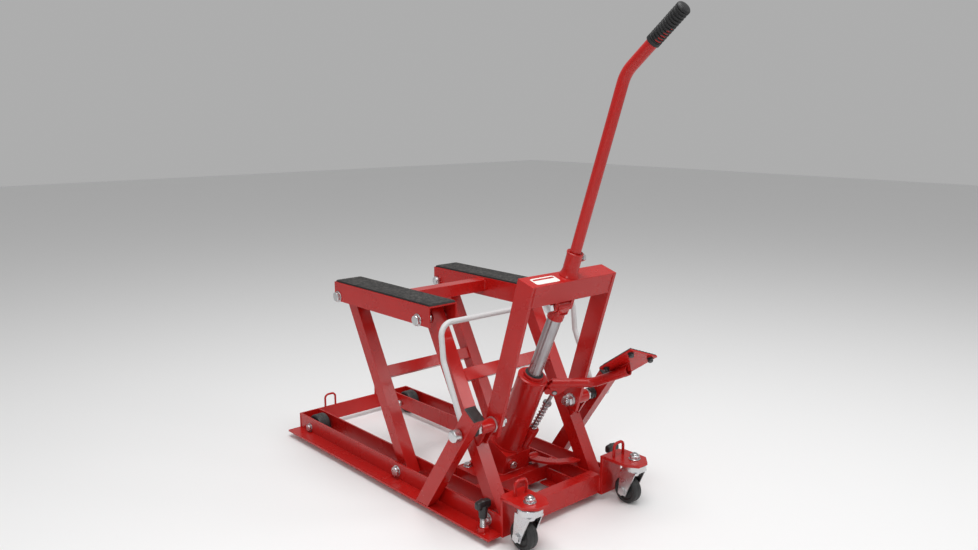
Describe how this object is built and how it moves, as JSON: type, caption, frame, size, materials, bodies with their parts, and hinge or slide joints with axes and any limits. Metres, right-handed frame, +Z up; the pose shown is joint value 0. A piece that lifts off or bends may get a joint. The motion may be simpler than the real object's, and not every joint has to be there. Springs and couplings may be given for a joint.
{
  "type": "hydraulic lift jack",
  "caption": "Wheeled hydraulic lift jack with padded saddles on swinging arms, foot pump, ram, yoke with pull handle, lock bars and floor locks.",
  "frame": {"origin": "on the floor under the centre of the overall box, jack raised", "axes": "+X across the jack, +Y from the handle end to the fixed wheels, +Z up"},
  "size_m": [0.426, 0.9874, 0.9477],
  "materials": {
    "red": "gloss enamel",
    "zinc": "bright zinc",
    "chrome": "polished",
    "steel": "ground",
    "grey": "satin light grey",
    "rubber": "matt",
    "wheel": "moulded",
    "plastic": "moulded"
  },
  "bodies": {
    "frame": {"outer_rail_left": "red", "outer_rail_right": "red", "inner_rails": "red", "caster_bracket_left": "red", "caster_bracket_right": "red", "rear_plate": "red", "cross_tubes": "red", "power_unit_bed": "red", "tie_down_loops": "red", "power_unit_base": "red", "ram_cylinder": "red", "cylinder_collar": "red", "pump_barrel": "red", "return_spring": "chrome", "frame_bolts": "zinc", "caster_kingpins": "zinc"},
    "front_arms": {"front_arm_left": "red", "front_arm_right": "red", "front_arm_bar": "red", "lock_bosses": "red", "lock_pins": "zinc"},
    "rear_arms": {"rear_arm_left": "red", "rear_arm_right": "red", "rear_arm_bar": "red"},
    "platform": {"saddle_left": "red", "saddle_right": "red", "saddle_bar": "red", "saddle_pad_left": "rubber", "saddle_pad_right": "rubber", "saddle_bolts": "zinc"},
    "ram": {"ram_rod": "steel", "ram_head": "red", "clevis_pin": "chrome"},
    "yoke": {"yoke_legs": "red", "yoke_beam": "red", "clevis_ears": "red", "yoke_fasteners": "zinc", "handle_socket": "red", "handle": "red", "handle_grip": "rubber"},
    "lock_bars": {"lock_bar_left": "red", "lock_bar_right": "red", "lock_bar_caps": "plastic", "bail": "grey"},
    "caster_left": {"caster_fork_left": "zinc"},
    "caster_right": {"caster_fork_right": "zinc"},
    "caster_wheel_left": {"caster_wheel_left": "wheel"},
    "caster_wheel_right": {"caster_wheel_right": "wheel"},
    "rear_wheel_left": {"rear_wheel_left": "wheel"},
    "rear_wheel_right": {"rear_wheel_right": "wheel"},
    "floor_lock_left": {"floor_lock_screw_left": "zinc", "floor_lock_knob_left": "plastic"},
    "floor_lock_right": {"floor_lock_screw_right": "zinc", "floor_lock_knob_right": "plastic"},
    "lever": {"pump_lever": "red", "tread_plate": "red", "tread_pad": "rubber"},
    "plunger": {"pump_plunger": "steel"},
    "pedal": {"release_pedal": "red"}
  },
  "joints": [
    {"name": "lift", "type": "hinge", "parent": "frame", "child": "front_arms", "pos_m": [0, -0.20416, 0.033], "axis": [1, 0, 0], "range_deg": [-52.5, 0]},
    {"name": "rear_lift", "type": "hinge", "parent": "frame", "child": "rear_arms", "pos_m": [0, 0.08424, 0.033], "axis": [1, 0, 0], "range_deg": [-52.5, 0]},
    {"name": "platform_level", "type": "hinge", "parent": "front_arms", "child": "platform", "pos_m": [0, -0.01236, 0.3797], "axis": [1, 0, 0], "range_deg": [0, 52.5]},
    {"name": "ram_slide", "type": "slide", "parent": "frame", "child": "ram", "axis": [0, -0.4067, 0.9135], "range_m": [-0.1318, 0]},
    {"name": "yoke_swing", "type": "hinge", "parent": "ram", "child": "yoke", "pos_m": [0, -0.22776, 0.42], "axis": [1, 0, 0], "range_deg": [0, 15.9]},
    {"name": "lock_swing", "type": "hinge", "parent": "front_arms", "child": "lock_bars", "pos_m": [0, -0.16476, 0.1945], "axis": [1, 0, 0], "range_deg": [0, 90.4]},
    {"name": "caster_swivel_left", "type": "hinge", "parent": "frame", "child": "caster_left", "pos_m": [-0.1456, -0.30126, 0.08], "axis": [0, 0, 1], "continuous": true},
    {"name": "caster_roll_left", "type": "hinge", "parent": "caster_left", "child": "caster_wheel_left", "pos_m": [-0.1456, -0.28726, 0.0275], "axis": [1, 0, 0], "continuous": true},
    {"name": "rear_roll_left", "type": "hinge", "parent": "frame", "child": "rear_wheel_left", "pos_m": [-0.134, 0.44324, 0.0275], "axis": [1, 0, 0], "continuous": true},
    {"name": "floor_lock_travel_left", "type": "slide", "parent": "frame", "child": "floor_lock_left", "axis": [0, 0, 1], "range_m": [-0.0035, 0.012]},
    {"name": "caster_swivel_right", "type": "hinge", "parent": "frame", "child": "caster_right", "pos_m": [0.1456, -0.30126, 0.08], "axis": [0, 0, 1], "continuous": true},
    {"name": "caster_roll_right", "type": "hinge", "parent": "caster_right", "child": "caster_wheel_right", "pos_m": [0.1456, -0.28726, 0.0275], "axis": [1, 0, 0], "continuous": true},
    {"name": "rear_roll_right", "type": "hinge", "parent": "frame", "child": "rear_wheel_right", "pos_m": [0.134, 0.44324, 0.0275], "axis": [1, 0, 0], "continuous": true},
    {"name": "floor_lock_travel_right", "type": "slide", "parent": "frame", "child": "floor_lock_right", "axis": [0, 0, 1], "range_m": [-0.0155, 0.004]},
    {"name": "lever_press", "type": "hinge", "parent": "frame", "child": "lever", "pos_m": [0.02764, -0.17005, 0.23697], "axis": [0.6262, 0.7122, 0.3171], "range_deg": [0, 22], "stiffness_Nm_per_rad": 8, "springref_deg": -17.19},
    {"name": "plunger_travel", "type": "slide", "parent": "frame", "child": "plunger", "axis": [0.1015, -0.4735, 0.8749], "range_m": [-0.0063, 0], "deforming": ["return_spring"]},
    {"name": "pedal_press", "type": "hinge", "parent": "frame", "child": "pedal", "pos_m": [0.052, -0.10076, 0.062], "axis": [1, 0, 0], "range_deg": [0, 12], "stiffness_Nm_per_rad": 1.5, "springref_deg": -8.59}
  ],
  "couplings": [
    {"joint": "rear_lift", "follows": "lift", "ratio": 1},
    {"joint": "platform_level", "follows": "lift", "ratio": -1},
    {"joint": "ram_slide", "follows": "lift", "m_per_rad": 0.14362},
    {"joint": "yoke_swing", "follows": "lift", "ratio": -0.30187},
    {"joint": "lock_swing", "follows": "lift", "ratio": -1.72},
    {"joint": "plunger_travel", "follows": "lever_press", "m_per_rad": -0.016}
  ]
}
